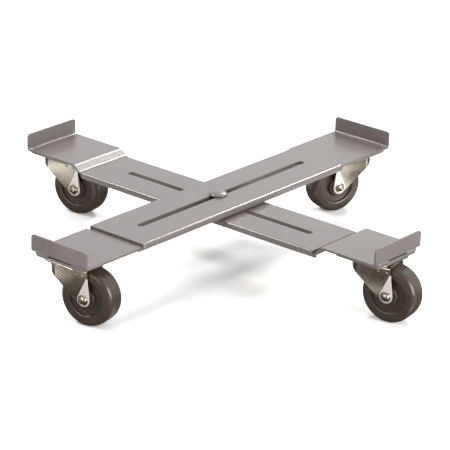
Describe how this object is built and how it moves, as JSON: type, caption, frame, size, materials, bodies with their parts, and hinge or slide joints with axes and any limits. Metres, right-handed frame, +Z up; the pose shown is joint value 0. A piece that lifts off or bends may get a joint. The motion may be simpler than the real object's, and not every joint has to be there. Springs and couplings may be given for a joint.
{
  "type": "drum dolly",
  "caption": "Adjustable low dolly for an upright drum: crossed telescoping steel arms with upturned end lips, on swivel casters.",
  "frame": {"origin": "on the floor, at the centre of the footprint with the arms drawn in", "axes": "+Z up; the upper arm lies along X with its outer plate's lip at +X; the lower arm lies along Y with its outer plate's lip at +Y"},
  "size_m": [0.66, 0.6732, 0.121],
  "materials": {
    "grey_enamel": "semi-gloss warm grey baked enamel",
    "zinc_plate": "bright zinc plate over pressed steel",
    "plain_steel": "plain oiled steel",
    "hard_rubber": "glossy moulded hard rubber"
  },
  "bodies": {
    "upper_outer": {"upper_outer_plate": "grey_enamel", "upper_outer_pad": "grey_enamel", "upper_outer_caster_top_plate": "zinc_plate", "upper_outer_caster_ball_race": "plain_steel", "upper_outer_caster_kingpin": "zinc_plate"},
    "upper_inner": {"upper_inner_plate": "grey_enamel", "upper_inner_pad": "grey_enamel", "upper_inner_caster_top_plate": "zinc_plate", "upper_inner_caster_ball_race": "plain_steel", "upper_inner_caster_kingpin": "zinc_plate"},
    "lower_outer": {"lower_outer_plate": "grey_enamel", "lower_outer_pad": "grey_enamel", "lower_outer_caster_top_plate": "zinc_plate", "lower_outer_caster_ball_race": "plain_steel", "lower_outer_caster_kingpin": "zinc_plate"},
    "lower_inner": {"lower_inner_plate": "grey_enamel", "lower_inner_pad": "grey_enamel", "lower_inner_caster_top_plate": "zinc_plate", "lower_inner_caster_ball_race": "plain_steel", "lower_inner_caster_kingpin": "zinc_plate"},
    "hub": {"centre_bolt": "grey_enamel", "centre_spacer": "plain_steel", "centre_nut": "zinc_plate"},
    "pivot": {"centre_washer": "zinc_plate"},
    "upper_outer_fork": {"upper_outer_caster_fork": "zinc_plate", "upper_outer_caster_axle": "zinc_plate", "upper_outer_caster_sleeve": "plain_steel"},
    "upper_outer_wheel": {"upper_outer_caster_wheel": "hard_rubber"},
    "upper_inner_fork": {"upper_inner_caster_fork": "zinc_plate", "upper_inner_caster_axle": "zinc_plate", "upper_inner_caster_sleeve": "plain_steel"},
    "upper_inner_wheel": {"upper_inner_caster_wheel": "hard_rubber"},
    "lower_outer_fork": {"lower_outer_caster_fork": "zinc_plate", "lower_outer_caster_axle": "zinc_plate", "lower_outer_caster_sleeve": "plain_steel"},
    "lower_outer_wheel": {"lower_outer_caster_wheel": "hard_rubber"},
    "lower_inner_fork": {"lower_inner_caster_fork": "zinc_plate", "lower_inner_caster_axle": "zinc_plate", "lower_inner_caster_sleeve": "plain_steel"},
    "lower_inner_wheel": {"lower_inner_caster_wheel": "hard_rubber"}
  },
  "joints": [
    {"name": "upper_outer_slide", "type": "slide", "parent": "upper_outer", "child": "hub", "axis": [-1, 0, 0], "range_m": [0, 0.15]},
    {"name": "upper_inner_slide", "type": "slide", "parent": "hub", "child": "upper_inner", "axis": [-1, 0, 0], "range_m": [0, 0.15]},
    {"name": "arm_fold", "type": "hinge", "parent": "hub", "child": "pivot", "pos_m": [-0.004, 0.01, 0.0875], "axis": [0, 0, 1], "range_deg": [-55, 55]},
    {"name": "lower_outer_slide", "type": "slide", "parent": "pivot", "child": "lower_outer", "axis": [0, 1, 0], "range_m": [0, 0.15]},
    {"name": "lower_inner_slide", "type": "slide", "parent": "pivot", "child": "lower_inner", "axis": [0, -1, 0], "range_m": [0, 0.15]},
    {"name": "upper_outer_swivel", "type": "hinge", "parent": "upper_outer", "child": "upper_outer_fork", "pos_m": [0.296, 0.01, 0.08], "axis": [0, 0, 1], "continuous": true},
    {"name": "upper_outer_roll", "type": "hinge", "parent": "upper_outer_fork", "child": "upper_outer_wheel", "pos_m": [0.27213, 0.01869, 0.04], "axis": [-0.342, -0.9397, 0], "continuous": true},
    {"name": "upper_inner_swivel", "type": "hinge", "parent": "upper_inner", "child": "upper_inner_fork", "pos_m": [-0.296, 0.01, 0.08], "axis": [0, 0, 1], "continuous": true},
    {"name": "upper_inner_roll", "type": "hinge", "parent": "upper_inner_fork", "child": "upper_inner_wheel", "pos_m": [-0.29159, -0.01501, 0.04], "axis": [0.9848, 0.1736, 0], "continuous": true},
    {"name": "lower_outer_swivel", "type": "hinge", "parent": "lower_outer", "child": "lower_outer_fork", "pos_m": [-0.004, 0.301, 0.08], "axis": [0, 0, 1], "continuous": true},
    {"name": "lower_outer_roll", "type": "hinge", "parent": "lower_outer_fork", "child": "lower_outer_wheel", "pos_m": [0.00041, 0.27599, 0.04], "axis": [0.9848, 0.1736, 0], "continuous": true},
    {"name": "lower_inner_swivel", "type": "hinge", "parent": "lower_inner", "child": "lower_inner_fork", "pos_m": [-0.004, -0.272, 0.08], "axis": [0, 0, 1], "continuous": true},
    {"name": "lower_inner_roll", "type": "hinge", "parent": "lower_inner_fork", "child": "lower_inner_wheel", "pos_m": [0.00041, -0.29701, 0.04], "axis": [0.9848, 0.1736, 0], "continuous": true}
  ]
}
